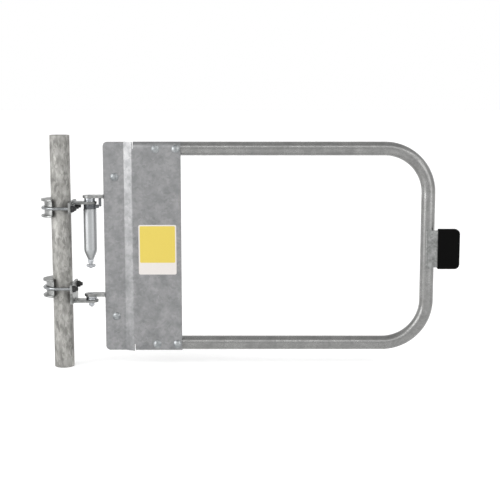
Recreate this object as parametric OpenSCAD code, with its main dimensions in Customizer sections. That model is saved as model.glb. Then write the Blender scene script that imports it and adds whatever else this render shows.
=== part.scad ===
// Self-closing safety gate on a short piece of tube post.
//
// Millimetres, +Z up. The origin is the centre of the post's foot, +X runs from the post along
// the closed gate, and the side where the gate opens is -Y. A bent tube is bolted into a sheet
// plate; the plate's set-back flange is bolted to a flat hinge strap with two welded lugs. They
// turn on two upright pins, held by brackets that U-bolts clamp to the post. A spring canister
// hangs below the upper bracket and turns the gate shut through a collar and a catch.

/* [Post] */
// Outside diameter of the post tube
post_d = 48.3; // [42.4:0.1:60.3]
// Wall of the post tube
post_wall = 3.2; // [2:0.1:5]
// Length of the post piece
post_len = 572; // [560:1:1500]
// Height of the gate's middle above the foot of the post
gate_mid = 299; // [285:1:305]

/* [Bent tube] */
// Outside diameter of the bent tube
tube_d = 33.7; // [26.9:0.1:38]
// Wall of the bent tube
tube_wall = 2.6; // [1.5:0.1:4]
// Centreline radius of the two tube bends
bend_r = 108; // [70:1:150]
// Height of the gate over the outsides of the tube
gate_h = 514; // [460:1:640]
// Hinge axis to the centreline of the tube's far upright
gate_reach = 826; // [600:1:1000]

/* [Gate plate] */
// Thickness of the sheet
plate_t = 3; // [2:0.5:4]
// Hinge axis to the near edge of the plate
plate_gap = 35; // [32:1:45]
// Width of the flange that is set back
flange_w = 51; // [48:1:70]
// Width of the sloping part between flange and face
joggle_w = 20; // [14:1:30]
// Depth by which the flange is set back
joggle_d = 10; // [5:0.5:12]
// Width of the flat face
face_w = 118; // [100:1:180]
// Inner radius of the two bends of the joggle
joggle_r = 4; // [2:0.5:6]
// Angle through which the lips are rolled round the tube
lip_angle = 60; // [30:1:85]
// Width of the slot between a lip and the joggle
relief_w = 1.5; // [1:0.5:8]
// Radius of the flange's outer corners
corner_r = 11; // [3:0.5:20]
// Far edge of the plate to the first bolt through the tube
bolt_inset = 12; // [11:0.5:20]
// Distance between the two bolts through each end of the tube
bolt_pitch = 49; // [30:1:60]

/* [Hinge strap and lugs] */
// Width of the flat strap behind the flange
strap_w = 45; // [40:1:48]
// Thickness of the strap
strap_t = 6; // [4:0.5:8]
// Distance between the two strap bolts
strap_pitch = 344; // [300:1:400]
// Strap end beyond a strap bolt
strap_end = 25; // [15:1:40]
// Near edge of the strap to the strap bolts
strap_inset = 27; // [20:0.5:30]
// Width of every hinge lug
lug_w = 34; // [30:0.5:38]
// Thickness of every hinge lug
lug_t = 6; // [4:0.5:8]
// Length of a gate lug behind the strap
lug_tail = 35; // [20:1:45]

/* [Hinge pins] */
// Clamp plate to the hinge axis
lug_reach = 40; // [38:0.5:60]
// Diameter of the hinge pins
pin_d = 12; // [10:0.5:14]
// Outside diameter of the spacer bushings
bush_d = 27; // [20:0.5:30]
// Height of the spacer bushings
bush_h = 9; // [8:0.5:16]
// Thick part of the upper pin inside the canister
pin_in_can = 20; // [10:1:40]
// Chamfer round the top of a pin
pin_chamfer = 1; // [0.5:0.25:2]
// Pin, rod or bolt beyond its last nut or disc
thread_end = 2.5; // [2:0.5:6]
// Underside of the upper post lug above the gate's middle
upper_lug_z = 105.5; // [98:0.5:125]
// Underside of the lower post lug below the gate's middle
lower_lug_z = 137.5; // [130:0.5:150]

/* [Spring canister] */
// Outside diameter of the canister
can_d = 32; // [28:0.5:36]
// Wall of the canister
can_wall = 2; // [1:0.25:3]
// Length of the canister's straight part
can_len = 104; // [70:1:130]
// Length of the canister's tapered nose
nose_len = 20; // [12:0.5:30]
// Diameter at the end of the nose
nose_d = 15; // [13:0.5:20]
// Thickness of the nose's floor round the rod
nose_floor = 4; // [2:0.5:8]
// Outside diameter of the turning collar
collar_d = 30; // [22:0.5:33]
// Height of the turning collar
collar_h = 11.5; // [8:0.5:16]
// Width of the collar's finger and of the catch on the gate
finger_w = 10; // [6:0.5:14]
// Height of the collar's finger
finger_h = 8; // [5:0.5:11]
// Thickness of the catch
catch_t = 6; // [4:0.5:8]
// Diameter of the rod through the canister
rod_d = 8; // [6:0.5:9]
// Diameter of the tension disc
disc_d = 22; // [18:0.5:28]
// Thickness of the tension disc
disc_t = 6; // [4:0.5:10]
// Gap between the rod's nut and the tension disc
disc_gap = 4; // [2:0.5:8]

/* [U-bolt clamps] */
// Diameter of the U-bolts
clamp_d = 8; // [6:0.5:12]
// Gap between the post and a leg of the U-bolt
leg_gap = 9; // [4:0.5:12]
// Thickness of the clamp plates
clamp_t = 6; // [4:0.5:8]
// Margin of the clamp plate beyond a leg's centre
clamp_edge = 10; // [9:0.5:14]
// Centre of the U-bolt to the free edge of its clamp plate
clamp_half = 12; // [10:0.5:26]
// Clamp plate above the upper lug
clamp_stand = 2; // [1:0.5:10]
// Radius of the clamp plates' corners
clamp_corner = 5; // [2:0.5:9]
// Centre of the upper U-bolt above the gate's middle
upper_clamp_z = 97; // [86:0.5:102]
// Centre of the lower U-bolt below the gate's middle
lower_clamp_z = 99; // [94:0.5:112]
// Thickness of the saddle between post and U-bolt
saddle_web = 16; // [10:0.5:18]
// Height of the saddle
saddle_h = 44; // [30:0.5:50]
// Saddle rims beyond the groove for the U-bolt
rim_out = 8; // [4:0.5:12]
// Thickness of the saddle rims
rim_t = 5; // [3:0.5:8]
// Distance that the saddle laps round the post
saddle_lap = 8; // [4:0.5:14]
// Length of the black end caps
cap_len = 13; // [12:0.5:24]
// Wall of the end caps
cap_wall = 1; // [0.75:0.25:2]
// Bevel round the shoulder and the closed end of a cap
cap_edge = 1; // [0.5:0.25:1.5]

/* [Stop] */
// Height of the steel stop tab
tab_h = 91; // [70:1:110]
// Thickness of the stop tab
tab_t = 5; // [3:0.5:8]
// Stop tab past the tube's centreline, on the near side
tab_lap = 3; // [2:0.5:10]
// Gap between the tube and the pad
pad_gap = 5.5; // [2:0.5:12]
// Length of the stop pad
pad_w = 53; // [40:1:80]
// Thickness of the stop pad
pad_t = 16; // [12:0.5:24]
// Wall of the stop pad over the tab's edges
pad_wall = 3.5; // [2:0.5:6]
// Wall of the stop pad over the tab's end
pad_end = 9; // [4:0.5:16]
// Radius of the stop pad's outer corners
pad_r = 12; // [4:0.5:16]
// Middle of the stop below the gate's middle
stop_drop = 3; // [0:1:60]

/* [Fasteners] */
// Diameter of the bolts through the plate
bolt_d = 10; // [8:0.5:10]
// Clearance of a bolt in its hole, on the diameter
hole_play = 1; // [0.5:0.25:1.5]
// Running clearance round a pin, on the radius
run_fit = 0.05; // [0.02:0.01:0.1]
// Gap between parts that are clamped or pushed together
seat_gap = 0.1; // [0.05:0.05:0.2]
// End gap between parts that turn on each other
thrust_gap = 0.3; // [0.2:0.05:0.5]
// Gap kept round the parts that swing past the hinge
swing_gap = 5; // [5:0.5:8]

/* [Hidden] */
$fn = 64;

// Radii
post_r = post_d / 2;
tube_r = tube_d / 2;
pin_r = pin_d / 2;
lip_r = tube_r + seat_gap;

// Nuts and cup heads follow the thread; a lock nut is taller than a plain one
function hex_af(d) = 1.6 * d;
function hex_corner(d) = hex_af(d) / 2 / cos(30);
function nut_h(d) = 0.8 * d;
function lock_nut_h(d) = 1.12 * d;
function head_r(d) = d;
function head_h(d) = 0.5 * d;

// Cutters run past the faces that they open by this much
past = 1;
// Flat steps in each bend of the joggle
bend_steps = 6;

// U-bolt, saddle and clamp plate
leg_y = post_r + leg_gap + clamp_d / 2;
u_inner_r = leg_y - clamp_d / 2;
u_bend_x = u_inner_r - post_r - saddle_web;
clamp_x = post_r + seat_gap;
clamp_face = clamp_x + clamp_t;
leg_end = clamp_face + cap_len - cap_wall - seat_gap;
upper_u_z = gate_mid + upper_clamp_z;
lower_u_z = gate_mid - lower_clamp_z;

// Hinge axis and the levels of the lugs, all from the gate's middle
hinge_x = clamp_face + lug_reach;
upper_gate_z = upper_lug_z + lug_t + bush_h + thrust_gap;
lower_gate_z = -lower_lug_z + lug_t + bush_h + thrust_gap;
upper_lug_low = gate_mid + upper_lug_z;
lower_lug_low = gate_mid - lower_lug_z;

// Spring canister, downwards from the upper post lug
collar_top = upper_lug_z - thrust_gap;
can_top = collar_top - collar_h - thrust_gap;
nose_top = can_top - can_len;
nose_end = nose_top - nose_len;
nut_end = nose_end - seat_gap - lock_nut_h(rod_d);
disc_top = nut_end - disc_gap;
catch_x = hinge_x + lug_w / 2 + swing_gap;

// Gate plate, from its near edge to its far edge, and the depth of its faces
plate_x = hinge_x + plate_gap;
face_x = plate_x + flange_w + joggle_w;
joggle_a = atan2(joggle_d, joggle_w);
flat_x = face_x + joggle_r * tan(joggle_a / 2);
lip_x = flat_x + relief_w;
plate_end = face_x + face_w;
face_back = -lip_r;
face_front = face_back - plate_t;
flange_back = face_back + joggle_d;
flange_front = flange_back - plate_t;
strap_back = flange_back + strap_t;

// Bent tube
tube_z = gate_h / 2 - tube_r;
upright_x = hinge_x + gate_reach;
tube_start = lip_x + relief_w;

// Stop
pad_x = upright_x + tube_r + pad_gap;
tab_back = -tube_r;
tab_end = pad_x + pad_w - pad_end;

galvanised = [0.62, 0.64, 0.65];
zinc = [0.72, 0.73, 0.74];
stainless = [0.80, 0.81, 0.83];
black = [0.06, 0.06, 0.07];

// ---- shared shapes -----------------------------------------------------------------------

// A straight tube or rod along +X
module along_x(r, len) {
  rotate([0, 90, 0]) cylinder(r = r, h = len);
}

// A straight rod along +Y
module along_y(r, len, fn = $fn) {
  rotate([-90, 0, 0]) cylinder(r = r, h = len, $fn = fn);
}

// A hexagon prism along +Z, by its width across flats
module hex_prism(af, h) {
  cylinder(r = af / 2 / cos(30), h = h, $fn = 6);
}

// A bore along Z through whatever stands from z = 0 to z = h
module bore(r, h) {
  translate([0, 0, -past]) cylinder(r = r, h = h + 2 * past);
}

// A bore along Y through whatever stands from y = 0 to y = len
module bore_y(r, len) {
  translate([0, -past, 0]) along_y(r, len + 2 * past);
}

// A rectangle about the origin with round corners
module rounded_rect(w, h, r) {
  square([w - 2 * r, h], center = true);
  square([w, h - 2 * r], center = true);
  for (x = [-1, 1], y = [-1, 1]) translate([x * (w / 2 - r), y * (h / 2 - r)]) circle(r = r);
}

// A nut along +Z
module hex_nut(d, h) {
  difference() {
    hex_prism(hex_af(d), h);
    bore(d / 2 + run_fit, h);
  }
}

// A cup-head bolt along +Y, its smooth domed head standing on y = 0
module cup_bolt(d, len) {
  dome_r = (pow(head_r(d), 2) + pow(head_h(d), 2)) / (2 * head_h(d));
  intersection() {
    translate([0, dome_r - head_h(d), 0]) sphere(r = dome_r);
    translate([-dome_r, -dome_r, -dome_r]) cube([2 * dome_r, dome_r, 2 * dome_r]);
  }
  translate([0, -head_h(d) / 2, 0]) along_y(d / 2, len + head_h(d) / 2);
}

// A nut along +Y
module nut_y(d) {
  rotate([-90, 0, 0]) hex_nut(d, nut_h(d));
}

// ---- post and clamps ---------------------------------------------------------------------

module post_tube() {
  color(galvanised) difference() {
    cylinder(r = post_r, h = post_len);
    bore(post_r - post_wall, post_len);
  }
}

// Flat plate against the post, between the heights low and high, drilled for the two legs
module clamp_plate(low, high, leg_z) {
  color(galvanised) translate([clamp_x, 0, 0]) difference() {
    translate([0, 0, (low + high) / 2]) rotate([90, 0, 90]) linear_extrude(clamp_t)
      rounded_rect(2 * (leg_y + clamp_edge), high - low, clamp_corner);
    for (side = [-1, 1])
      translate([-past, side * leg_y, leg_z]) along_x((clamp_d + hole_play) / 2, clamp_t + 2 * past);
  }
}

// Horizontal lug welded to a clamp plate, with a round end about the hinge axis
module post_lug(z) {
  color(galvanised) translate([0, 0, z]) difference() {
    union() {
      translate([clamp_face, -lug_w / 2, 0]) cube([lug_reach, lug_w, lug_t]);
      translate([hinge_x, 0, 0]) cylinder(r = lug_w / 2, h = lug_t);
    }
    translate([hinge_x, 0, 0]) bore(pin_r + run_fit, lug_t);
  }
}

// U-bolt round the post and its saddle, with both legs through the clamp plate
module u_bolt(z) {
  color(zinc) translate([0, 0, z]) {
    translate([u_bend_x, 0, 0]) rotate_extrude(angle = 180, start = 90)
      translate([leg_y, 0]) circle(r = clamp_d / 2);
    for (side = [-1, 1])
      translate([u_bend_x, side * leg_y, 0]) along_x(clamp_d / 2, leg_end - u_bend_x);
  }
}

// Grooved saddle: hugs the post inside, and its rims hold the bend of the U-bolt
module saddle(z) {
  groove_r = u_inner_r - seat_gap;
  span = 2 * (groove_r + rim_out);
  color(galvanised) translate([0, 0, z]) intersection() {
    difference() {
      union() {
        translate([u_bend_x, 0, -saddle_h / 2]) cylinder(r = groove_r, h = saddle_h);
        for (low = [-saddle_h / 2, saddle_h / 2 - rim_t])
          translate([u_bend_x, 0, low]) cylinder(r = groove_r + rim_out, h = rim_t);
      }
      translate([0, 0, -saddle_h / 2]) bore(post_r + seat_gap, saddle_h);
    }
    translate([-post_r + saddle_lap - span, -span / 2, -saddle_h / 2]) cube([span, span, saddle_h]);
  }
}

// Nut of one leg, on the clamp plate's face
module leg_nut(side, z) {
  color(zinc) translate([clamp_face, side * leg_y, z]) rotate([0, 90, 0]) rotate([0, 0, 30])
    hex_nut(clamp_d, nut_h(clamp_d));
}

// Black cap: a wide skirt over the nut, stepped down to a thimble over the end of the leg
module leg_cap(side, z) {
  nut_hole = hex_corner(clamp_d) + run_fit;
  leg_hole = clamp_d / 2 + run_fit;
  nut_room = nut_h(clamp_d) + seat_gap;
  color(black) translate([clamp_face, side * leg_y, z]) rotate([0, 90, 0]) difference() {
    union() {
      bevelled_cup(nut_hole + cap_wall, nut_room + cap_wall);
      bevelled_cup(leg_hole + cap_wall, cap_len);
    }
    translate([0, 0, -past]) cylinder(r = nut_hole, h = nut_room + past);
    translate([0, 0, -past]) cylinder(r = leg_hole, h = cap_len - cap_wall + past);
  }
}

// Outside of one step of a cap, bevelled round its end
module bevelled_cup(r, h) {
  cylinder(r = r, h = h - cap_edge);
  translate([0, 0, h - cap_edge]) cylinder(r1 = r, r2 = r - cap_edge, h = cap_edge);
}

// ---- hinge pins and spring ---------------------------------------------------------------

// Pin about the Z axis, with a chamfer above its top
module pin(low, top) {
  translate([0, 0, top]) {
    mirror([0, 0, 1]) cylinder(r = pin_r, h = top - low);
    cylinder(r1 = pin_r, r2 = pin_r - pin_chamfer, h = pin_chamfer);
  }
}

// Upper pin: stands in the post lug and runs on as the thinner rod through the canister
module upper_hinge_pin() {
  rod_low = disc_top - disc_t - thread_end;
  color(zinc) translate([hinge_x, 0, gate_mid]) {
    pin(can_top - pin_in_can, upper_gate_z + lug_t);
    translate([0, 0, rod_low]) cylinder(r = rod_d / 2, h = upper_gate_z - rod_low);
  }
}

// Lower pin: stands in the post lug, and its thinner threaded end carries a lock nut
module lower_hinge_pin() {
  thread = lock_nut_h(rod_d) + thread_end;
  color(zinc) translate([hinge_x, 0, gate_mid]) {
    pin(-lower_lug_z, lower_gate_z + lug_t);
    translate([0, 0, -lower_lug_z - thread]) cylinder(r = rod_d / 2, h = thread + past);
  }
}

module lower_pin_nut() {
  color(zinc) translate([hinge_x, 0, gate_mid - lower_lug_z - lock_nut_h(rod_d)])
    hex_nut(rod_d, lock_nut_h(rod_d));
}

// Spacer on a post lug that carries a gate lug
module bushing(lug_z) {
  color(zinc) translate([hinge_x, 0, gate_mid + lug_z + lug_t]) difference() {
    cylinder(r = bush_d / 2, h = bush_h);
    bore(pin_r + run_fit, bush_h);
  }
}

// Thin canister round the spring: open at the top, tapered to a bored nose at the bottom
module spring_canister() {
  nose_r = nose_d / 2;
  can_r = can_d / 2;
  color(stainless) translate([hinge_x, 0, gate_mid]) rotate_extrude() polygon([
    [rod_d / 2 + run_fit, nose_end],
    [nose_r, nose_end],
    [can_r, nose_top],
    [can_r, can_top],
    [can_r - can_wall, can_top],
    [can_r - can_wall, nose_top],
    [nose_r, nose_end + nose_floor],
    [rod_d / 2 + run_fit, nose_end + nose_floor]
  ]);
}

// Nut that holds the canister up on the rod
module spring_nut() {
  color(zinc) translate([hinge_x, 0, gate_mid + nut_end]) hex_nut(rod_d, lock_nut_h(rod_d));
}

// Disc at the rod's end that sets the spring's tension
module tension_disc() {
  color(zinc) translate([hinge_x, 0, gate_mid + disc_top - disc_t]) difference() {
    cylinder(r = disc_d / 2, h = disc_t);
    bore(rod_d / 2 + run_fit, disc_t);
  }
}

// Collar on the pin that the spring turns; its finger pushes on the catch
module spring_collar() {
  color(galvanised) translate([hinge_x, 0, gate_mid + collar_top - collar_h]) difference() {
    union() {
      cylinder(r = collar_d / 2, h = collar_h);
      translate([0, -finger_w / 2, (collar_h - finger_h) / 2]) cube([catch_x - hinge_x, finger_w, finger_h]);
    }
    bore(pin_r + run_fit, collar_h);
  }
}

// Catch welded under the upper gate lug, reaching down to the collar's finger
module spring_catch() {
  low = collar_top - collar_h / 2;
  color(galvanised) translate([catch_x, -finger_w / 2, gate_mid + low])
    cube([catch_t, finger_w, upper_gate_z - low]);
}

// ---- gate --------------------------------------------------------------------------------

// Gate lug: round about the hinge axis, butted to the strap's edge and run on behind it
module gate_lug(z) {
  color(galvanised) translate([0, 0, gate_mid + z]) difference() {
    union() {
      translate([hinge_x, 0, 0]) cylinder(r = lug_w / 2, h = lug_t);
      translate([hinge_x, -lug_w / 2, 0]) cube([plate_gap, lug_w, lug_t]);
      translate([plate_x - 1, strap_back, 0]) cube([lug_tail + 1, lug_w / 2 - strap_back, lug_t]);
    }
    translate([hinge_x, 0, 0]) bore(pin_r + run_fit, lug_t);
  }
}

// Flat strap behind the flange
module hinge_strap() {
  h = strap_pitch + 2 * strap_end;
  color(galvanised) translate([plate_x, flange_back, gate_mid]) difference() {
    translate([0, 0, -h / 2]) cube([strap_w, strap_t, h]);
    for (z = [-1, 1] * strap_pitch / 2)
      translate([strap_inset, 0, z]) bore_y((bolt_d + hole_play) / 2, strap_t);
  }
}

// The x and z of the bolts through one end of the tube
tube_bolt_x = [plate_end - bolt_inset - bolt_pitch, plate_end - bolt_inset];

// Points of an arc in plan about the centre c
function arc(c, r, from, to) =
  [for (i = [0:bend_steps]) let (a = from + (to - from) * i / bend_steps) c + r * [cos(a), sin(a)]];

// Flange, joggle and the start of the face in plan: the front side, then the back side
module sheet_section() {
  first = [plate_x + flange_w - (joggle_r + plate_t) * tan(joggle_a / 2), flange_front - joggle_r];
  second = [flat_x, face_back + joggle_r];
  polygon(concat(
    [[plate_x, flange_front]],
    arc(first, joggle_r, 90, 90 - joggle_a),
    arc(second, joggle_r + plate_t, 270 - joggle_a, 270),
    [[lip_x, face_front], [lip_x, face_back]],
    arc(second, joggle_r, 270, 270 - joggle_a),
    arc(first, joggle_r + plate_t, 90 - joggle_a, 90),
    [[plate_x, flange_back]]
  ));
}

// One sheet: set-back flange, joggle and flat face, with a lip rolled round each tube end
module gate_plate() {
  lip_w = plate_end - lip_x;
  hole_r = (bolt_d + hole_play) / 2;
  color(galvanised) translate([0, 0, gate_mid]) difference() {
    union() {
      intersection() {
        translate([0, 0, -gate_h / 2]) linear_extrude(gate_h) sheet_section();
        translate([plate_x + gate_reach / 2, tube_d, 0]) rotate([90, 0, 0]) linear_extrude(2 * tube_d)
          rounded_rect(gate_reach, gate_h, corner_r);
      }
      translate([flat_x, face_front, -tube_z]) cube([plate_end - flat_x, plate_t, 2 * tube_z]);
      for (side = [-1, 1])
        translate([lip_x, 0, side * tube_z]) rotate([0, 90, 0])
          rotate_extrude(angle = lip_angle, start = side > 0 ? 270 - lip_angle : 270)
            translate([lip_r, 0]) square([plate_t, lip_w]);
    }
    for (side = [-1, 1]) {
      translate([lip_x - relief_w, face_front - past, side > 0 ? tube_z : -tube_z - tube_d])
        cube([relief_w, plate_t + 2 * past, tube_d]);
      for (x = tube_bolt_x) translate([x, face_front, side * tube_z]) bore_y(hole_r, plate_t);
      translate([plate_x + strap_inset, flange_front, side * strap_pitch / 2]) bore_y(hole_r, plate_t);
    }
  }
}

// One quarter bend of the tube, hollow, from +X round to the upright
module tube_bend() {
  rotate([90, 0, 0]) rotate_extrude(angle = 90) translate([bend_r, 0]) difference() {
    circle(r = tube_r);
    circle(r = tube_r - tube_wall);
  }
}

// One straight length of the tube along +Z, hollow
module tube_run(len) {
  difference() {
    cylinder(r = tube_r, h = len);
    bore(tube_r - tube_wall, len);
  }
}

// Upper half of the bent tube, seen from its bend: the run to the plate and half the upright
module half_tube() {
  bend_x = upright_x - bend_r;
  bend_z = tube_z - bend_r;
  translate([bend_x, 0, bend_z]) {
    tube_bend();
    translate([0, 0, bend_r]) rotate([0, -90, 0]) tube_run(bend_x - tube_start);
    translate([bend_r, 0, 0]) mirror([0, 0, 1]) tube_run(bend_z);
  }
}

// Tube bent to a U, with its open ends in the lips of the plate
module bent_tube() {
  color(galvanised) translate([0, 0, gate_mid]) difference() {
    union() {
      half_tube();
      mirror([0, 0, 1]) half_tube();
    }
    for (side = [-1, 1], x = tube_bolt_x)
      translate([x, -tube_r, side * tube_z]) bore_y((bolt_d + hole_play) / 2, tube_d);
  }
}

module tube_bolts(side) {
  color(zinc) for (x = tube_bolt_x) translate([x, face_front, gate_mid + side * tube_z])
    cup_bolt(bolt_d, tube_r - face_front + nut_h(bolt_d) + thread_end);
}

module tube_nuts(side) {
  color(zinc) for (x = tube_bolt_x) translate([x, tube_r, gate_mid + side * tube_z]) nut_y(bolt_d);
}

module strap_bolt(side) {
  color(zinc) translate([plate_x + strap_inset, flange_front, gate_mid + side * strap_pitch / 2])
    cup_bolt(bolt_d, plate_t + strap_t + nut_h(bolt_d) + thread_end);
}

module strap_nut(side) {
  color(zinc) translate([plate_x + strap_inset, strap_back, gate_mid + side * strap_pitch / 2])
    nut_y(bolt_d);
}

// Steel tab welded to the front of the tube, inside the pad at its far end
module stop_tab() {
  color(galvanised) translate([upright_x - tab_lap, tab_back - tab_t, gate_mid - stop_drop - tab_h / 2])
    cube([tab_end - upright_x + tab_lap, tab_t, tab_h]);
}

// Black pad pushed over the tab, with rounded far corners
module stop_pad() {
  h = tab_h + 2 * pad_wall;
  color(black) translate([pad_x, tab_back - tab_t / 2 + pad_t / 2, gate_mid - stop_drop]) difference() {
    rotate([90, 0, 0]) linear_extrude(pad_t) {
      translate([0, -h / 2]) square([pad_w - pad_r, h]);
      translate([pad_w - pad_r, pad_r - h / 2]) square([pad_r, h - 2 * pad_r]);
      for (z = [-1, 1] * (h / 2 - pad_r)) translate([pad_w - pad_r, z]) circle(r = pad_r);
    }
    translate([-past, -(pad_t + tab_t) / 2 - seat_gap, -tab_h / 2 - seat_gap])
      cube([pad_w - pad_end + past + seat_gap, tab_t + 2 * seat_gap, tab_h + 2 * seat_gap]);
  }
}

post_tube();
clamp_plate(upper_u_z - clamp_half, upper_lug_low + lug_t + clamp_stand, upper_u_z);  // upper_clamp_plate
post_lug(upper_lug_low);  // upper_post_lug
u_bolt(upper_u_z);  // upper_u_bolt
saddle(upper_u_z);  // upper_saddle
leg_nut(-1, upper_u_z);  // upper_front_nut
leg_nut(1, upper_u_z);  // upper_rear_nut
leg_cap(-1, upper_u_z);  // upper_front_cap
leg_cap(1, upper_u_z);  // upper_rear_cap
clamp_plate(lower_lug_low, lower_u_z + clamp_half, lower_u_z);  // lower_clamp_plate
post_lug(lower_lug_low);  // lower_post_lug
u_bolt(lower_u_z);  // lower_u_bolt
saddle(lower_u_z);  // lower_saddle
leg_nut(-1, lower_u_z);  // lower_front_nut
leg_nut(1, lower_u_z);  // lower_rear_nut
leg_cap(-1, lower_u_z);  // lower_front_cap
leg_cap(1, lower_u_z);  // lower_rear_cap
upper_hinge_pin();
bushing(upper_lug_z);  // upper_bushing
lower_hinge_pin();
bushing(-lower_lug_z);  // lower_bushing
lower_pin_nut();
spring_canister();
spring_nut();
tension_disc();
spring_collar();
spring_catch();
hinge_strap();
gate_lug(upper_gate_z);  // upper_gate_lug
gate_lug(lower_gate_z);  // lower_gate_lug
gate_plate();
strap_bolt(1);  // upper_strap_bolt
strap_nut(1);  // upper_strap_nut
strap_bolt(-1);  // lower_strap_bolt
strap_nut(-1);  // lower_strap_nut
bent_tube();
tube_bolts(1);  // upper_tube_bolts
tube_nuts(1);  // upper_tube_nuts
tube_bolts(-1);  // lower_tube_bolts
tube_nuts(-1);  // lower_tube_nuts
stop_tab();
stop_pad();
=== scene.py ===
import math

import bmesh
import bpy
from mathutils import Matrix, Vector


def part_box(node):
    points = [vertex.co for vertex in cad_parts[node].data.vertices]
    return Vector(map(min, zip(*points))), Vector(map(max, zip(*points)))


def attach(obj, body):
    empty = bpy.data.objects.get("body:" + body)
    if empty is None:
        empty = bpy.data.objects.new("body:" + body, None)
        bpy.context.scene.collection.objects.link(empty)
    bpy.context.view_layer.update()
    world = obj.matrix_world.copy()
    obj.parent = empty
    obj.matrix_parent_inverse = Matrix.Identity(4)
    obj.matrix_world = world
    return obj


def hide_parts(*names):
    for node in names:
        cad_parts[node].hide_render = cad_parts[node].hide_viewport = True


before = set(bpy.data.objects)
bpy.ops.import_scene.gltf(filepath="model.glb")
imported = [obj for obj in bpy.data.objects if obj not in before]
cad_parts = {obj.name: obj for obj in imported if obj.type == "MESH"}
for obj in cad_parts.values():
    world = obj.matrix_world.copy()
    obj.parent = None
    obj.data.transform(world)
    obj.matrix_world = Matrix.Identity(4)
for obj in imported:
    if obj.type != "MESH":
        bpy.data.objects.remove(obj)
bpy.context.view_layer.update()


# ---- Post -----------------------------------------------------------------------------------
# A short cut of 48.3 x 3.2 mm steel tube, saw-cut square at both ends and then hot-dip
# galvanised. The brackets of the gate are clamped round it.

MM = 0.001


def corners(node):
    """Lowest and highest corner of a CAD node, in millimetres."""
    low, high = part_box(node)
    return low / MM, high / MM


def turned(outline, steps=64):
    """A closed (radius, height) outline in millimetres, spun about the Z axis."""
    bm = bmesh.new()
    verts = [bm.verts.new((r, 0, z)) for r, z in outline]
    edges = [bm.edges.new((a, b)) for a, b in zip(verts, verts[1:] + verts[:1])]
    bmesh.ops.spin(
        bm, geom=verts + edges, cent=(0, 0, 0), axis=(0, 0, 1), angle=math.tau,
        steps=steps, use_merge=True,
    )
    bmesh.ops.remove_doubles(bm, verts=bm.verts, dist=0.002)
    bmesh.ops.recalc_face_normals(bm, faces=bm.faces)
    return bm


def made(name, bm, material, body, replaces=(), crease=32):
    """Turns a bmesh in millimetres into a finished piece that rides on a body."""
    bmesh.ops.scale(bm, vec=(MM, MM, MM), verts=bm.verts)
    mesh = bpy.data.meshes.new(name)
    bm.to_mesh(mesh)
    bm.free()
    mesh.shade_smooth()
    mesh.set_sharp_from_angle(angle=math.radians(crease))
    mesh.materials.append(material)
    piece = bpy.data.objects.new(name, mesh)
    bpy.context.scene.collection.objects.link(piece)
    flatter = piece.modifiers.new("flat faces stay flat", "WEIGHTED_NORMAL")
    flatter.keep_sharp = True
    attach(piece, body)
    if replaces:
        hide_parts(*replaces)


def srgb(code):
    """A hex colour as written in a paint list, in the linear values that nodes take."""
    parts = [int(code[i:i + 2], 16) / 255 for i in (1, 3, 5)]
    return [c / 12.92 if c <= 0.04045 else ((c + 0.055) / 1.055) ** 2.4 for c in parts] + [1.0]


def node(tree, kind, links=(), **settings):
    """Adds a shader node; settings name its properties or inputs, links its input sockets."""
    made_node = tree.nodes.new("ShaderNode" + kind)
    for key, value in settings.items():
        if hasattr(made_node, key):
            setattr(made_node, key, value)
        else:
            made_node.inputs[key.replace("_", " ")].default_value = value
    for socket, source in dict(links).items():
        tree.links.new(source, made_node.inputs[socket])
    return made_node


def new_material(name):
    """An empty node material with its Principled shader."""
    material = bpy.data.materials.new(name)
    material.use_nodes = True
    tree = material.node_tree
    tree.nodes.clear()
    shader = node(tree, "BsdfPrincipled")
    output = node(tree, "OutputMaterial")
    tree.links.new(shader.outputs["BSDF"], output.inputs["Surface"])
    return material, tree, shader


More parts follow.
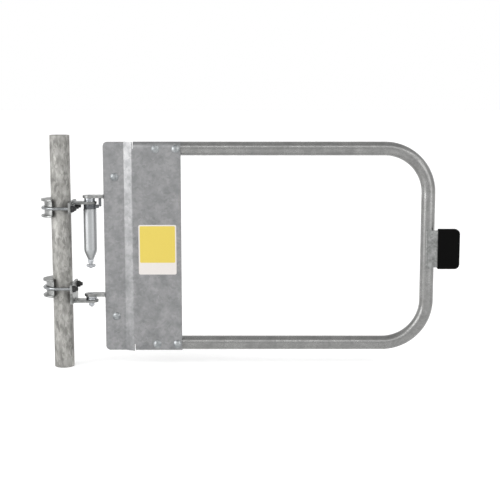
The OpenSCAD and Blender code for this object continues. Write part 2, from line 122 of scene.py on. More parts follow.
def hot_dip_zinc(name, dark, light, crystal, cloud, rough, relief=0.06, drawn=1, metal=0.92):
    """Hot-dip galvanised steel: zinc crystals (crystal, mm) that each catch the light a
    little differently, under larger dull clouds (cloud, mm) where the coat weathers. They
    stand up by relief, in mm, and are drawn out along Z by a factor. Metal falls as the
    coat dulls."""
    grain_share, gloss_spread, fine_grit = 0.36, 0.07, 1.6
    material, tree, shader = new_material(name)
    undrawn = node(tree, "TexCoord").outputs["Object"]
    stretch = node(tree, "Mapping", {"Vector": undrawn}, vector_type="POINT")
    stretch.inputs["Scale"].default_value = (1, 1, 1 / drawn)
    place = stretch.outputs["Vector"]
    wander = node(tree, "TexNoise", {"Vector": place}, Scale=1 / (crystal * 2 * MM), Detail=2)
    bent = node(
        tree, "MixRGB", {"Color1": place, "Color2": wander.outputs["Color"]},
        Fac=crystal * MM * 0.9, blend_type="LINEAR_LIGHT",
    )
    grains = node(tree, "TexVoronoi", {"Vector": bent.outputs["Color"]}, Scale=1 / (crystal * MM))
    grain = node(tree, "SeparateColor", {"Color": grains.outputs["Color"]}).outputs["Red"]
    clouds = node(
        tree, "TexNoise", {"Vector": place}, Scale=1 / (cloud * MM), Detail=4, Roughness=0.55,
    )
    spread = node(
        tree, "MapRange", {"Value": clouds.outputs["Fac"]}, From_Min=0.3, From_Max=0.7,
    )
    tone = node(
        tree, "Mix", {2: spread.outputs["Result"], 3: grain}, data_type="FLOAT",
        Factor=grain_share,
    )
    colours = node(tree, "ValToRGB", {"Fac": tone.outputs[0]})
    colours.color_ramp.elements[0].position = 0.12
    colours.color_ramp.elements[0].color = srgb(dark)
    colours.color_ramp.elements[1].position = 0.88
    colours.color_ramp.elements[1].color = srgb(light)
    gloss = node(
        tree, "MapRange", {"Value": tone.outputs[0]}, To_Min=rough + gloss_spread,
        To_Max=rough - gloss_spread,
    )
    fine = node(tree, "TexNoise", {"Vector": place}, Scale=1 / (fine_grit * MM), Detail=3)
    height = node(
        tree, "Math", {0: grains.outputs["Distance"], 1: fine.outputs["Fac"]}, operation="ADD",
    )
    bump = node(
        tree, "Bump", {"Height": height.outputs[0]}, Strength=0.35, Distance=relief * MM,
    )
    tree.links.new(colours.outputs["Color"], shader.inputs["Base Color"])
    tree.links.new(gloss.outputs["Result"], shader.inputs["Roughness"])
    tree.links.new(bump.outputs["Normal"], shader.inputs["Normal"])
    shader.inputs["Metallic"].default_value = metal
    return material


post_zinc = hot_dip_zinc(
    "galvanised_post", "#6a6966", "#a9a8a4", crystal=4.5, cloud=17, rough=0.6, relief=0.1,
    drawn=2.2, metal=0.5,
)
POST_WALL, CUT = 3.2, 0.5
post_high = corners("post_tube")[1]
post_r = post_high.x
post_bore = post_r - POST_WALL
made(
    "post_tube_drawn",
    turned([
        (post_bore, CUT), (post_bore + CUT, 0), (post_r - CUT, 0), (post_r, CUT),
        (post_r, post_high.z - CUT), (post_r - CUT, post_high.z),
        (post_bore + CUT, post_high.z), (post_bore, post_high.z - CUT),
    ], steps=96),
    post_zinc, "post", ["post_tube"],
)


# ---- Clamp brackets -------------------------------------------------------------------------
# Each bracket is a flat steel plate with a horizontal lug welded to its face. Both are cut
# from 6 mm flat, deburred, welded and galvanised as one, so every edge is slightly rounded.

plate_zinc = hot_dip_zinc(
    "galvanised_bracket", "#6b6c6b", "#9a9b9a", crystal=4, cloud=18, rough=0.36,
)


def copied(cad_node):
    """The CAD node's shape as a clean bmesh in millimetres, its flat faces whole again."""
    bm = bmesh.new()
    bm.from_mesh(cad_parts[cad_node].data)
    bmesh.ops.scale(bm, vec=(1 / MM, 1 / MM, 1 / MM), verts=bm.verts)
    bmesh.ops.remove_doubles(bm, verts=bm.verts, dist=0.001)
    bmesh.ops.dissolve_limit(
        bm, angle_limit=math.radians(0.3), verts=bm.verts, edges=bm.edges,
    )
    return bm


# The legs of a U-bolt stand LEG_Y from the middle of the post, and no drilled hole reaches
# further than DRILLED from its axis. Each drilling is a point on the axis and its direction.
LEG_Y, DRILLED = 37.15, 7.3
hinge = sum(corners("spring_canister"), Vector()) / 2
drillings = [(hinge, Vector((0, 0, 1)))]
for bracket in ("upper", "lower"):
    level = sum(corner.z for corner in corners(bracket + "_u_bolt")) / 2
    drillings += [(Vector((0, y, level)), Vector((1, 0, 0))) for y in (LEG_Y, -LEG_Y)]
    for bolts in ("_tube_bolts", "_strap_bolt"):
        low, high = corners(bracket + bolts)
        head_r = (high.z - low.z) / 2
        for x in (low.x + head_r, high.x - head_r):
            drillings.append((Vector((x, 0, (low.z + high.z) / 2)), Vector((0, 1, 0))))


def at_hole(edge):
    """True on the rim of a hole that a bolt or a pin fills."""
    return any(
        all((v.co - at).cross(way).length < DRILLED for v in edge.verts)
        for at, way in drillings
    )


def rounded(bm, width, segments=2, sharp=30):
    """Rounds every edge sharper than the given angle, but for the rims of filled holes."""
    edges = [
        e for e in bm.edges
        if len(e.link_faces) == 2 and e.calc_face_angle(0) > math.radians(sharp)
        and not at_hole(e)
    ]
    bmesh.ops.bevel(
        bm, geom=edges, offset=width, offset_type="OFFSET", segments=segments, profile=0.5,
        affect="EDGES", clamp_overlap=False, material=-1,
    )
    return bm


def reworked(cad_node, material, body, width=0.6, segments=2):
    """A CAD node's own shape with its cut edges rounded."""
    made(
        cad_node + "_finished", rounded(copied(cad_node), width, segments), material, body,
        [cad_node],
    )


PLATE_EDGE = 0.7
for bracket in ("upper", "lower"):
    reworked(bracket + "_clamp_plate", plate_zinc, "post", PLATE_EDGE)
    reworked(bracket + "_post_lug", plate_zinc, "post", PLATE_EDGE)


# ---- Weld beads -----------------------------------------------------------------------------
# Arc welds hold the lugs, the catch and the stop tab. Each is a rippled bead lying in the
# corner between two pieces, galvanised over with them.

weld_zinc = hot_dip_zinc(
    "galvanised_weld", "#7a7b7a", "#a7a9a7", crystal=2.5, cloud=8, rough=0.36, relief=0.1,
)
RIPPLE, BEAD_STEP = 2.4, 0.6


def weld_bead(name, path, radius, body):
    """A bead along straight legs between the path's points, rippled and tapered at its ends."""
    points = []
    for a, b in zip(path, path[1:]):
        a, b = Vector(a), Vector(b)
        steps = max(2, round((b - a).length / BEAD_STEP))
        points += [a.lerp(b, i / steps) for i in range(steps)]
    points.append(Vector(path[-1]))
    length = sum((b - a).length for a, b in zip(points, points[1:]))
    bm = bmesh.new()
    rings, run = [], 0.0
    for i, point in enumerate(points):
        ahead = points[min(i + 1, len(points) - 1)] - points[max(i - 1, 0)]
        run += (point - points[i - 1]).length if i else 0
        ripple = 0.86 + 0.14 * abs(math.sin(math.pi * run / RIPPLE))
        to_end = max(min(run, length - run), 0.05)
        taper = min(1, math.sqrt(to_end / radius))
        turn = ahead.to_track_quat("Z", "Y").to_matrix().to_4x4()
        ring = bmesh.ops.create_circle(
            bm, segments=12, radius=radius * ripple * taper,
            matrix=Matrix.Translation(point) @ turn,
        )["verts"]
        rings.append(ring)
    for a, b in zip(rings, rings[1:]):
        loops = list({e for v in a for e in v.link_edges if e.other_vert(v) in a})
        loops += list({e for v in b for e in v.link_edges if e.other_vert(v) in b})
        bmesh.ops.bridge_loops(bm, edges=loops)
    bmesh.ops.contextual_create(bm, geom=rings[0])
    bmesh.ops.contextual_create(bm, geom=rings[-1])
    bmesh.ops.recalc_face_normals(bm, faces=bm.faces)
    made(name, bm, weld_zinc, body, crease=60)


TOP_BEAD, UNDER_BEAD, SIDE_BEAD = 1.5, 2.2, 1.6
for bracket in ("upper", "lower"):
    low, high = corners(bracket + "_post_lug")
    root = low.x + 1.2
    beads = [("top", high.z + 0.4, TOP_BEAD)]
    if bracket == "upper":
        beads.append(("under", low.z - 1.2, UNDER_BEAD))
    for side, level, radius in beads:
        weld_bead(
            f"{bracket}_lug_weld_{side}",
            [(root, low.y + 2, level), (root, high.y - 2, level)], radius, "post",
        )
    root = low.x + 1.0
    for side, edge in (("front", low.y), ("rear", high.y)):
        weld_bead(
            f"{bracket}_lug_weld_{side}",
            [(root, edge, low.z + 1), (root, edge, high.z - 1)], SIDE_BEAD, "post",
        )


# ---- U-bolts and saddles --------------------------------------------------------------------
# M8 U-bolts, bent from zinc-plated rod, pass round the post in the groove of a galvanised
# saddle. Behind the clamp plate a black push-on cap covers each leg's hex nut.

plated, plated_tree, plated_shader = new_material("zinc_plated_steel")
# Zinc plating is bright and a little blue, with a soft cloudiness from handling.
HAZE = 6
place = node(plated_tree, "TexCoord").outputs["Object"]
haze = node(plated_tree, "TexNoise", {"Vector": place}, Scale=1 / (HAZE * MM), Detail=4)
haze_tone = node(plated_tree, "ValToRGB", {"Fac": haze.outputs["Fac"]})
haze_tone.color_ramp.elements[0].position = 0.3
haze_tone.color_ramp.elements[0].color = srgb("#8b8e91")
haze_tone.color_ramp.elements[1].position = 0.7
haze_tone.color_ramp.elements[1].color = srgb("#b7b9bc")
haze_gloss = node(
    plated_tree, "MapRange", {"Value": haze.outputs["Fac"]}, To_Min=0.34, To_Max=0.2,
)
plated_tree.links.new(haze_tone.outputs["Color"], plated_shader.inputs["Base Color"])
plated_tree.links.new(haze_gloss.outputs["Result"], plated_shader.inputs["Roughness"])
plated_shader.inputs["Metallic"].default_value = 1.0

# The bent rods get darker zinc than the nuts: partly their own grey tone, partly painted shade
# for the dark edges along each rod. A thin bright line stays on them.
rod_zinc = hot_dip_zinc(
    "zinc_plated_rod_painted_shade", "#707374", "#999b9d", crystal=2, cloud=9, rough=0.22, relief=0.02,
)

HEX_STEPS = 48
THREAD_PITCH, THREAD_DEPTH = 1.5, 0.8
LEG_R = 4.05


def ring(bm, radius, height, hexagon=False):
    """One loop of edges at a height; a hexagon's radius is half its width across flats."""
    found = bmesh.ops.create_circle(bm, segments=HEX_STEPS, radius=1)["verts"]
    for v in found:
        angle = math.atan2(v.co.y, v.co.x)
        reach = radius
        if hexagon:
            reach /= math.cos((angle + math.pi / 6) % (math.pi / 3) - math.pi / 6)
        v.co = (reach * math.cos(angle), reach * math.sin(angle), height)
    return found


def hexed(across, height, bore):
    """A hex nut along Z with conical chamfers and a bore."""
    flat, lead_in, slope = across / 2 * 0.97, 0.4, math.radians(30)
    bm = bmesh.new()
    loops = [ring(bm, bore, lead_in), ring(bm, bore + lead_in, 0)]
    for level, sign in ((0, 1), (height, -1)):
        rim = ring(bm, flat, level)
        corner = ring(bm, across / 2, level, hexagon=True)
        for v in corner:
            past = max(0, math.hypot(v.co.x, v.co.y) - flat)
            v.co.z += sign * past * math.tan(slope)
        loops += [rim, corner] if sign > 0 else [corner, rim]
    loops += [ring(bm, bore + lead_in, height), ring(bm, bore, height - lead_in), loops[0]]
    for a, b in zip(loops, loops[1:]):
        joined = {e for v in a for e in v.link_edges if e.other_vert(v) in a}
        joined |= {e for v in b for e in v.link_edges if e.other_vert(v) in b}
        bmesh.ops.bridge_loops(bm, edges=list(joined))
    bmesh.ops.recalc_face_normals(bm, faces=bm.faces)
    return bm


def threaded(radius, low, high):
    """A threaded length of rod along Z, cut as grooves one pitch apart, its end chamfered."""
    root = radius - THREAD_DEPTH
    outline = [(0, low), (radius, low)]
    level = low
    while level + THREAD_PITCH < high - 0.6:
        outline += [(radius, level + 0.2), (root, level + 0.75), (radius, level + 1.3)]
        level += THREAD_PITCH
    outline += [(radius, high - THREAD_DEPTH), (root, high), (0, high)]
    return turned(outline, steps=32)


def laid(bm, matrix, *others):
    """Places a bmesh and joins others, already placed, to it."""
    bmesh.ops.transform(bm, matrix=matrix, verts=bm.verts)
    for other in others:
        mesh = bpy.data.meshes.new("part")
        other.to_mesh(mesh)
        other.free()
        bm.from_mesh(mesh)
        bpy.data.meshes.remove(mesh)
    return bm


ALONG_X = Matrix.Rotation(math.radians(90), 4, "Y")
ALONG_Y = Matrix.Rotation(math.radians(-90), 4, "X")

cap_black, cap_tree, cap_shader = new_material("black_polyethylene")
# Moulded polyethylene caps have a waxy, faintly scuffed satin skin.
SCUFF = 2.5
place = node(cap_tree, "TexCoord").outputs["Object"]
scuff = node(cap_tree, "TexNoise", {"Vector": place}, Scale=1 / (SCUFF * MM), Detail=4)
scuff_gloss = node(
    cap_tree, "MapRange", {"Value": scuff.outputs["Fac"]}, To_Min=0.35, To_Max=0.55,
)
scuff_tone = node(cap_tree, "ValToRGB", {"Fac": scuff.outputs["Fac"]})
scuff_tone.color_ramp.elements[0].color = srgb("#0b0b0c")
scuff_tone.color_ramp.elements[1].color = srgb("#1a1a1b")
cap_tree.links.new(scuff_tone.outputs["Color"], cap_shader.inputs["Base Color"])
cap_tree.links.new(scuff_gloss.outputs["Result"], cap_shader.inputs["Roughness"])

for bracket in ("upper", "lower"):
    made(
        bracket + "_u_bolt_bent", copied(bracket + "_u_bolt"), rod_zinc, "post",
        [bracket + "_u_bolt"],
    )
    reworked(
        bracket + "_saddle", plate_zinc, "post", width=1.0, segments=3,
    )
    for leg in ("front", "rear"):
        low, high = corners(f"{bracket}_{leg}_nut")
        middle = (low + high) / 2
        nut_reach, nut_corner = high.x - low.x, (high.y - low.y) / 2
        at = Matrix.Translation((low.x, middle.y, middle.z)) @ ALONG_X
        made(
            f"{bracket}_{leg}_hex_nut", laid(hexed(high.z - low.z, nut_reach, LEG_R), at),
            plated, "post", [f"{bracket}_{leg}_nut"],
        )
        low, high = corners(f"{bracket}_{leg}_cap")
        middle = (low + high) / 2
        at = Matrix.Translation((low.x, middle.y, middle.z)) @ ALONG_X
        reach, outer = high.x - low.x, (high.y - low.y) / 2
        skirt = nut_corner + 0.1
        roof = nut_reach + 1.1
        thimble = LEG_R + 1
        made(
            f"{bracket}_{leg}_end_cap",
            laid(turned([
                (skirt, 0.3), (skirt + 0.3, 0), (outer - 0.3, 0), (outer, 0.4), (outer, 1.4),
                (outer - 0.4, 1.9), (outer - 0.5, roof - 1.1), (outer - 1.4, roof - 0.2),
                (thimble + 0.8, roof), (thimble - 0.1, roof + 0.9), (thimble - 0.3, reach - 1.4),
                (thimble - 0.9, reach - 0.4), (thimble - 1.8, reach), (0, reach),
                (0, reach - 1), (LEG_R - 0.05, reach - 1),
                (LEG_R, nut_reach + 0.2), (skirt, nut_reach + 0.2),
            ], steps=40), at),
            cap_black, "post", [f"{bracket}_{leg}_cap"],
        )


# ---- Hinge pins, bushings and spring canister -----------------------------------------------
# Two turned pins carry the gate. Below the upper lug hangs the spring: a thin stainless
# canister on a rod, closed by a lock nut, with a knurled tension disc under it.

stainless, steel_tree, steel_shader = new_material("stainless_half_polished")
# Drawn stainless tube, half polished: fine hairlines run round it and blur its reflections.
place = node(steel_tree, "TexCoord").outputs["Object"]
HAIR_LENGTH, HAIR_THINNESS = 9, 14
along = node(steel_tree, "Mapping", {"Vector": place}, vector_type="POINT")
along.inputs["Scale"].default_value = (1, 1, HAIR_THINNESS)
hairs = node(
    steel_tree, "TexNoise", {"Vector": along.outputs["Vector"]},
    Scale=1 / (HAIR_LENGTH * MM), Detail=5,
)
hair_gloss = node(
    steel_tree, "MapRange", {"Value": hairs.outputs["Fac"]}, To_Min=0.32, To_Max=0.46,
)
hair_tone = node(steel_tree, "ValToRGB", {"Fac": hairs.outputs["Fac"]})
hair_tone.color_ramp.elements[0].color = srgb("#959798")
hair_tone.color_ramp.elements[1].color = srgb("#afb1b2")
hair_bump = node(
    steel_tree, "Bump", {"Height": hairs.outputs["Fac"]}, Strength=0.2, Distance=0.02 * MM,
)
steel_tree.links.new(hair_tone.outputs["Color"], steel_shader.inputs["Base Color"])
steel_tree.links.new(hair_gloss.outputs["Result"], steel_shader.inputs["Roughness"])
steel_tree.links.new(hair_bump.outputs["Normal"], steel_shader.inputs["Normal"])
steel_shader.inputs["Metallic"].default_value = 1.0

NOSE = 20
ROD_R, PIN_R = 4, 6
ROD_BORE, PIN_BORE = 4.05, 6.05
can_low, can_high = corners("spring_canister")
can_r = (can_high.x - can_low.x) / 2
can_base = can_low.z + NOSE
to_hinge = Matrix.Translation((hinge.x, 0, 0))
made(
    "spring_canister_drawn",
    laid(turned([
        (ROD_BORE, can_low.z), (6.6, can_low.z), (7.4, can_low.z + 0.6), (8.4, can_low.z + 3),
        (12.9, can_base - 7), (14.7, can_base - 2.4), (can_r - 0.5, can_base + 1),
        (can_r, can_base + 4), (can_r, can_high.z - 7.4), (can_r - 0.5, can_high.z - 6.6),
        (can_r - 0.5, can_high.z - 5.8), (can_r, can_high.z - 5), (can_r, can_high.z - 0.5),
        (can_r - 0.4, can_high.z), (can_r - 2, can_high.z), (can_r - 2, can_base + 2),
        (7.5, can_low.z + 4), (ROD_BORE, can_low.z + 4),
    ], steps=80), to_hinge),
    stainless, "post", ["spring_canister"], crease=40,
)
for name, nut in (("spring_lock_nut", "spring_nut"), ("lower_pin_hex_nut", "lower_pin_nut")):
    low, high = corners(nut)
    at = Matrix.Translation((hinge.x, 0, low.z))
    made(
        name, laid(hexed(high.y - low.y, high.z - low.z, ROD_BORE), at), plated, "post",
        [nut],
    )

KNURLS, KNURL_DEPTH = 40, 0.5
low, high = corners("tension_disc")
disc_r = (high.x - low.x) / 2
disc = turned([
    (ROD_BORE, low.z + 0.3), (4.4, low.z), (disc_r - 1, low.z), (disc_r, low.z + 1),
    (disc_r, high.z - 1), (disc_r - 1, high.z), (4.4, high.z), (ROD_BORE, high.z - 0.3),
], steps=2 * KNURLS)
for v in disc.verts:
    turn = math.atan2(v.co.y, v.co.x) / math.tau * 2 * KNURLS
    if math.hypot(v.co.x, v.co.y) > disc_r - 0.1 and round(turn) % 2:
        v.co.x *= (disc_r - KNURL_DEPTH) / disc_r
        v.co.y *= (disc_r - KNURL_DEPTH) / disc_r
made(
    "tension_disc_knurled", laid(disc, to_hinge), plated, "post",
    ["tension_disc"], crease=20,
)

for bracket in ("upper", "lower"):
    low, high = corners(bracket + "_bushing")
    bush_r = (high.y - low.y) / 2
    middle = (low.z + high.z) / 2
    made(
        bracket + "_bushing_turned",
        laid(turned([
            (PIN_BORE, low.z + 0.3), (6.4, low.z), (bush_r - 0.6, low.z), (bush_r, low.z + 0.6),
            (bush_r, middle - 0.9), (bush_r - 0.9, middle - 0.4), (bush_r - 0.9, middle + 0.4),
            (bush_r, middle + 0.9), (bush_r, high.z - 0.6), (bush_r - 0.6, high.z),
            (6.4, high.z), (PIN_BORE, high.z - 0.3),
        ]), to_hinge),
        plated, "post", [bracket + "_bushing"],
    )

# The upper pin steps down to its rod inside the canister, the lower one under its lug. Each
# top end is chamfered and centre-drilled, and each rod ends in a thread.
pin_steps = {
    "upper": [(ROD_R, can_high.z - 20), (PIN_R, can_high.z - 20 + 0.8)],
    "lower": [
        (ROD_R, corners("lower_post_lug")[0].z),
        (PIN_R - 0.4, corners("lower_post_lug")[0].z),
        (PIN_R, corners("lower_post_lug")[0].z + 0.4),
    ],
}
for bracket, plain_from, thread in (("upper", 8, 9), ("lower", 4, 4.5)):
    low, high = corners(bracket + "_hinge_pin")
    pin = turned(
        [(0, low.z + plain_from), (ROD_R, low.z + plain_from)] + pin_steps[bracket] + [
            (PIN_R, high.z - 1.2), (PIN_R - 1.2, high.z), (1.6, high.z), (0.6, high.z - 0.8),
            (0, high.z - 0.8),
        ], steps=48,
    )
    screw = laid(threaded(ROD_R, low.z, low.z + thread), to_hinge)
    made(
        bracket + "_hinge_pin_turned", laid(pin, to_hinge, screw), plated, "post",
        [bracket + "_hinge_pin"],
    )


# ---- Hinge strap, gate lugs, collar and catch -----------------------------------------------
# A flat steel strap with two lugs welded across it turns on the pins. The spring drives a
# collar whose finger bears on a catch under the upper lug. All are galvanised steel.

reworked("hinge_strap", plate_zinc, "gate", PLATE_EDGE)
# The collar and its catch rub on each other, and their dulled steel is darker than the zinc.
dull_steel = hot_dip_zinc(
    "dulled_spring_steel", "#47494c", "#707275", crystal=3, cloud=12, rough=0.42,
)
reworked("spring_collar", dull_steel, "gate")
reworked("spring_catch", dull_steel, "gate")

LUG_BEAD, CATCH_BEAD = 1.9, 1.5
PROUD = 0.9
strap_low, strap_high = corners("hinge_strap")
back, side_x = strap_high.y + PROUD, strap_low.x - PROUD
for bracket in ("upper", "lower"):
    reworked(bracket + "_gate_lug", plate_zinc, "gate", PLATE_EDGE)
    low, high = corners(bracket + "_gate_lug")
    for side, level in (("top", high.z + PROUD), ("under", low.z - PROUD)):
        weld_bead(
            f"{bracket}_strap_weld_{side}",
            [(strap_low.x + 3, back, level), (high.x - 2, back, level)], LUG_BEAD, "gate",
        )
        weld_bead(
            f"{bracket}_edge_weld_{side}",
            [(side_x, strap_low.y, level), (side_x, strap_high.y, level)], LUG_BEAD, "gate",
        )
low, high = corners("spring_catch")
root, level = high.x + 0.6, high.z - 0.8
weld_bead(
    "catch_weld", [(root, low.y, level), (root, high.y, level)], CATCH_BEAD, "gate",
)


# ---- Gate plate -----------------------------------------------------------------------------
# One blank of 3 mm sheet, folded set back along its hinge edge, with a lip rolled round each
# end of the tube. It is galvanised after folding, so the zinc shows broad cloudy crystals.

sheet_zinc = hot_dip_zinc(
    "galvanised_sheet", "#797a7b", "#949495", crystal=6, cloud=30, rough=0.46,
)
SHEET_EDGE = 0.45
reworked("gate_plate", sheet_zinc, "gate", SHEET_EDGE)


# ---- Label ----------------------------------------------------------------------------------
# A plain printed vinyl sticker with a yellow field over a white strip. It carries no words
# and no sign, has rounded corners and lies flat on the face of the plate.

PEEL = 3
plate_low, plate_high = corners("gate_plate")
face_y = plate_low.y
gate_z = (plate_low.z + plate_high.z) / 2


def vinyl(name, code):
    """Printed vinyl: even colour under a thin clear film, with a faint orange-peel sheen."""
    material, tree, shader = new_material(name)
    place = node(tree, "TexCoord").outputs["Object"]
    peel = node(tree, "TexNoise", {"Vector": place}, Scale=1 / (PEEL * MM), Detail=2)
    shade = node(
        tree, "MixRGB", {"Fac": peel.outputs["Fac"]}, blend_type="MIX",
        Color1=srgb(code), Color2=[c * 0.93 for c in srgb(code)[:3]] + [1.0],
    )
    bump = node(
        tree, "Bump", {"Height": peel.outputs["Fac"]}, Strength=0.1, Distance=0.1 * MM,
    )
    tree.links.new(shade.outputs["Color"], shader.inputs["Base Color"])
    tree.links.new(bump.outputs["Normal"], shader.inputs["Normal"])
    shader.inputs["Roughness"].default_value = 0.35
    return material


def film(name, left, right, low, high, thickness, radius, material):
    """A rectangle of film with rounded corners, lying on the plate's face."""
    bm = bmesh.new()
    bmesh.ops.create_cube(bm, size=1)
    bmesh.ops.scale(bm, vec=(right - left, thickness, high - low), verts=bm.verts)
    bmesh.ops.translate(
        bm, vec=((left + right) / 2, face_y - thickness / 2, (low + high) / 2), verts=bm.verts,
    )
    upright = [e for e in bm.edges if abs(e.verts[0].co.y - e.verts[1].co.y) > thickness / 2]
    bmesh.ops.bevel(
        bm, geom=upright, offset=radius, offset_type="OFFSET", segments=6, profile=0.5,
        affect="EDGES", material=-1,
    )
    made(name, bm, material, "gate")


label_white = vinyl("vinyl_white", "#cfcac6")
label_yellow = vinyl("vinyl_yellow", "#ccb750")
LEFT, RIGHT, FOOT, TOP = 190, 282, gate_z - 66, gate_z + 56
BORDER, STRIP = 3, 29
film("label_backing", LEFT, RIGHT, FOOT, TOP, 0.15, 4, label_white)
film(
    "label_field", LEFT + BORDER, RIGHT - BORDER, FOOT + STRIP, TOP - BORDER, 0.22, 3,
    label_yellow,
)


# ---- Bent tube ------------------------------------------------------------------------------
# 33.7 x 2.6 mm steel tube, cold bent to a U with two 108 mm bends and galvanised. Its open
# ends lie in the rolled lips of the plate.

tube_zinc = hot_dip_zinc(
    "galvanised_tube", "#7a7a79", "#90908f", crystal=3, cloud=26, rough=0.3,
)
TUBE_R, TUBE_WALL, BEND_R = 16.85, 2.6, 108
BEND_STEPS, ROUND_STEPS = 24, 64
tube_low, tube_high = corners("bent_tube")
far_x = tube_high.x - TUBE_R
run_z = tube_high.z - TUBE_R


def tube_skin(bm, radius):
    """Sweeps one circle from the tube's upper end round both bends to its lower end."""
    start = bmesh.ops.create_circle(
        bm, segments=ROUND_STEPS, radius=radius,
        matrix=Matrix.Translation((tube_low.x, 0, run_z)) @ ALONG_X,
    )["verts"]
    first = [e for e in bm.edges if e.verts[0] in start]
    front = list(first)

    def pulled(edges, vec):
        out = bmesh.ops.extrude_edge_only(bm, edges=edges)["geom"]
        moved = [v for v in out if isinstance(v, bmesh.types.BMVert)]
        bmesh.ops.translate(bm, vec=vec, verts=moved)
        return [
            e for e in out
            if isinstance(e, bmesh.types.BMEdge) and all(v in moved for v in e.verts)
        ]

    def swung(edges, centre):
        verts = list({v for e in edges for v in e.verts})
        out = bmesh.ops.spin(
            bm, geom=verts + edges, cent=centre, axis=(0, 1, 0), angle=math.pi / 2,
            steps=BEND_STEPS,
        )["geom_last"]
        return [e for e in out if isinstance(e, bmesh.types.BMEdge)]

    front = pulled(front, (far_x - BEND_R - tube_low.x, 0, 0))
    front = swung(front, (far_x - BEND_R, 0, run_z - BEND_R))
    front = pulled(front, (0, 0, -2 * (run_z - BEND_R - gate_z)))
    front = swung(front, (far_x - BEND_R, 0, 2 * gate_z - run_z + BEND_R))
    front = pulled(front, (tube_low.x - far_x + BEND_R, 0, 0))
    return first, front


bm = bmesh.new()
outer = tube_skin(bm, TUBE_R)
inner = tube_skin(bm, TUBE_R - TUBE_WALL)
for end in (0, 1):
    bmesh.ops.bridge_loops(bm, edges=outer[end] + inner[end])
bmesh.ops.remove_doubles(bm, verts=bm.verts, dist=0.001)
bmesh.ops.recalc_face_normals(bm, faces=bm.faces)
made("bent_tube_drawn", bm, tube_zinc, "gate", ["bent_tube"])


# ---- Bolts and nuts of the gate -------------------------------------------------------------
# M10 cup-head bolts join the plate to the tube and to the strap. They are zinc plated, with
# smooth domed heads, and their threads show past the hex nuts behind the gate.

# Zinc plating gone dull: a soft grey shine with no sharp glints on the domes.
dull_zinc = hot_dip_zinc(
    "dulled_zinc_plating", "#7a7d7f", "#a4a7a8", crystal=2.5, cloud=10, rough=0.42, relief=0.03,
)
BOLT_R, HEAD, RIM = 5, 5, 0.7
THREAD_SHOWN = 3


def domed(head_r):
    """Outline of a cup head from the top of its dome down to its flat underside."""
    rise, steps = HEAD - RIM, 9
    dome_r = (head_r ** 2 + rise ** 2) / (2 * rise)
    arc = [head_r * i / steps for i in range(steps + 1)]
    outline = [(r, dome_r - math.sqrt(dome_r ** 2 - r ** 2)) for r in arc]
    return outline + [(head_r, HEAD - 0.2), (head_r - 0.2, HEAD), (0, HEAD)]


def bolt_set(name, bolts, nuts):
    """Bolts through the gate along Y, with their nuts, for one bolt node and one nut node."""
    low, high = corners(bolts)
    nut_low, nut_high = corners(nuts)
    across = nut_high.z - nut_low.z
    level = (low.z + high.z) / 2
    head_r = (high.z - low.z) / 2
    single = high.x - low.x < 3 * head_r
    places = [low.x + head_r] if single else [low.x + head_r, high.x - head_r]
    plain_end = nut_high.y - low.y - THREAD_SHOWN
    for kind in ("bolts", "nuts"):
        parts = []
        for x in places:
            at = Matrix.Translation((x, 0, level)) @ ALONG_Y
            if kind == "bolts":
                head = turned(domed(head_r), steps=48)
                shank = turned([
                    (0, HEAD - 0.5), (BOLT_R, HEAD - 0.5), (BOLT_R, plain_end), (0, plain_end),
                ], steps=32)
                screw = threaded(BOLT_R, plain_end - 0.5, high.y - low.y)
                parts.append(laid(head, Matrix.Identity(4), shank, screw))
                shift = Matrix.Translation((0, low.y, 0))
            else:
                parts.append(hexed(across, nut_high.y - nut_low.y, BOLT_R + 0.05))
                shift = Matrix.Translation((0, nut_low.y, 0))
            bmesh.ops.transform(parts[-1], matrix=shift @ at, verts=parts[-1].verts)
        body = laid(parts[0], Matrix.Identity(4), *parts[1:])
        made(
            f"{name}_{kind}", body, dull_zinc, "gate",
            [bolts if kind == "bolts" else nuts],
        )


for row in ("upper", "lower"):
    bolt_set(row + "_tube_cup", row + "_tube_bolts", row + "_tube_nuts")
    bolt_set(row + "_strap_cup", row + "_strap_bolt", row + "_strap_nut")


# ---- Stop -----------------------------------------------------------------------------------
# A 5 mm steel tab is welded to the front of the tube's far upright. A moulded black rubber pad
# is pushed over its end and meets the far post when the gate is shut.

reworked("stop_tab", plate_zinc, "gate")
TAB_BEAD, EDGE_BEAD = 2.6, 2.0
tab_low, tab_high = corners("stop_tab")
for side, level in (("top", tab_high.z + 0.8), ("foot", tab_low.z - 0.8)):
    weld_bead(
        "tab_weld_" + side,
        [(tab_low.x + 1, -TUBE_R - 1.4, level), (far_x + 9, -TUBE_R + 1.2, level)],
        TAB_BEAD, "gate",
    )
root, front = tab_low.x - 0.6, -TUBE_R - 0.6
weld_bead(
    "tab_weld_edge", [(root, front, tab_low.z + 1), (root, front, tab_high.z - 1)],
    EDGE_BEAD, "gate",
)

rubber, rubber_tree, rubber_shader = new_material("black_nitrile_rubber")
# Moulded black rubber: near black, matt, with the fine grain of the mould on its skin.
place = node(rubber_tree, "TexCoord").outputs["Object"]
MOULD_GRAIN, BLOOM = 0.9, 20
grain = node(rubber_tree, "TexNoise", {"Vector": place}, Scale=1 / (MOULD_GRAIN * MM), Detail=3)
bloom = node(rubber_tree, "TexNoise", {"Vector": place}, Scale=1 / (BLOOM * MM), Detail=3)
bloom_tone = node(rubber_tree, "ValToRGB", {"Fac": bloom.outputs["Fac"]})
bloom_tone.color_ramp.elements[0].color = srgb("#020202")
bloom_tone.color_ramp.elements[1].color = srgb("#060606")
bloom_gloss = node(
    rubber_tree, "MapRange", {"Value": bloom.outputs["Fac"]}, To_Min=0.5, To_Max=0.68,
)
grain_bump = node(
    rubber_tree, "Bump", {"Height": grain.outputs["Fac"]}, Strength=0.3, Distance=0.08 * MM,
)
rubber_tree.links.new(bloom_tone.outputs["Color"], rubber_shader.inputs["Base Color"])
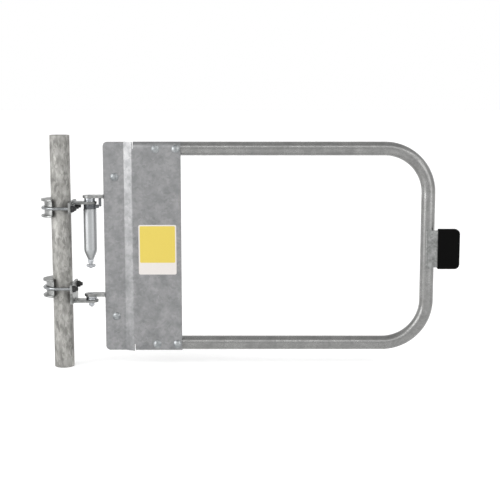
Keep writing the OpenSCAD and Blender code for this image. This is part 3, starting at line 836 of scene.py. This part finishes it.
rubber_tree.links.new(bloom_gloss.outputs["Result"], rubber_shader.inputs["Roughness"])
rubber_tree.links.new(grain_bump.outputs["Normal"], rubber_shader.inputs["Normal"])
rubber_shader.inputs["Specular IOR Level"].default_value = 0.05
reworked("stop_pad", rubber, "gate", width=2.4, segments=4)


# ---- Studio ---------------------------------------------------------------------------------
# A pale paper floor and a bright surround, with a brighter strip above and before the gate. A
# large soft light stands to the left and a weaker one to the right. The floor glows a little to
# the camera and in metal alike, and to other rays it is plain paper that keeps its shadows.

FLOOR_REACH, FLOOR_GAP = 30, 0.0005
floor_mesh = bpy.data.meshes.new("floor")
bm = bmesh.new()
bmesh.ops.create_grid(bm, x_segments=1, y_segments=1, size=FLOOR_REACH)
bmesh.ops.translate(bm, vec=(0, 0, -FLOOR_GAP), verts=bm.verts)
bm.to_mesh(floor_mesh)
bm.free()
floor = bpy.data.objects.new("floor", floor_mesh)
bpy.context.scene.collection.objects.link(floor)
paper = bpy.data.materials.new("pale_paper")
paper.use_nodes = True
paper_tree = paper.node_tree
paper_tree.nodes.clear()
matt = node(paper_tree, "BsdfDiffuse", Color=srgb("#e6e6e6"))
glow = node(paper_tree, "Emission", Color=srgb("#ffffff"), Strength=0.33)
lit = node(paper_tree, "AddShader", {0: matt.outputs["BSDF"], 1: glow.outputs["Emission"]})
path = node(paper_tree, "LightPath")
seen = path.outputs["Is Camera Ray"]
for kind in ("Is Glossy Ray", "Is Transmission Ray"):
    seen = node(
        paper_tree, "Math", {0: seen, 1: path.outputs[kind]}, operation="MAXIMUM",
    ).outputs[0]
pick = node(paper_tree, "MixShader", {0: seen, 1: matt.outputs["BSDF"], 2: lit.outputs["Shader"]})
node(paper_tree, "OutputMaterial", {"Surface": pick.outputs["Shader"]})
floor_mesh.materials.append(paper)

world = bpy.data.worlds.new("surround")
world.use_nodes = True
sky = world.node_tree
sky.nodes.clear()
direction = node(sky, "TexCoord").outputs["Generated"]
split = node(sky, "SeparateXYZ", {"Vector": direction})
height = node(sky, "MapRange", {"Value": split.outputs["Z"]}, From_Min=-1, From_Max=1)
# Light levels by degrees above the horizon, for the room before the gate and the backdrop.
ROOM = (-3, 0.97), (18, 0.97), (30, 0.8), (32, 3.0), (42, 3.0), (44, 0.7), (90, 0.7)
BACKDROP = (-3, 1.0), (16, 1.0), (25, 0.85), (90, 0.75)
greys = []
for levels in (ROOM, BACKDROP):
    ramp = node(sky, "ValToRGB", {"Fac": height.outputs["Result"]})
    stops = ramp.color_ramp.elements
    while len(stops) < len(levels):
        stops.new(1.0)
    for stop, (elevation, level) in zip(stops, levels):
        stop.position = (math.sin(math.radians(elevation)) + 1) / 2
        stop.color = (level, level, level, 1)
    greys.append(ramp.outputs["Color"])
behind = node(sky, "MapRange", {"Value": split.outputs["Y"]}, From_Min=-0.3, From_Max=0.05)
surround = node(
    sky, "MixRGB", {"Fac": behind.outputs["Result"], "Color1": greys[0], "Color2": greys[1]},
)
light_out = node(sky, "Background", {"Color": surround.outputs["Color"]}, Strength=1.0)
node(sky, "OutputWorld", {"Surface": light_out.outputs["Background"]})
bpy.context.scene.world = world


def soft_light(name, place, target, width, height, power):
    """A rectangular soft light that faces a target, sized in metres, its power in watts."""
    lamp = bpy.data.lights.new(name, "AREA")
    lamp.shape = "RECTANGLE"
    lamp.size, lamp.size_y, lamp.energy = width, height, power
    holder = bpy.data.objects.new(name, lamp)
    holder.location = place
    holder.rotation_euler = (Vector(target) - Vector(place)).to_track_quat("-Z", "Y").to_euler()
    bpy.context.scene.collection.objects.link(holder)


soft_light("left_bank", (-1.5, -1.15, 0.92), (0.2, 0, 0.58), 1.3, 1.5, 24.5)
soft_light("right_bank", (2.6, -2.0, 0.9), (0.2, 0, 0.4), 1.6, 1.6, 13)

LENS, SENSOR, LOOKS_DOWN = 80, 36, 8.3
camera_data = bpy.data.cameras.new("camera")
camera_data.sensor_width = SENSOR
camera_data.lens = LENS
camera = bpy.data.objects.new("camera", camera_data)
camera.location = (0.4614, -2.7, 0.6845)
camera.rotation_euler = (math.radians(90 - LOOKS_DOWN), 0, 0)
bpy.context.scene.collection.objects.link(camera)
bpy.context.scene.camera = camera
bpy.context.scene.view_settings.view_transform = "Standard"
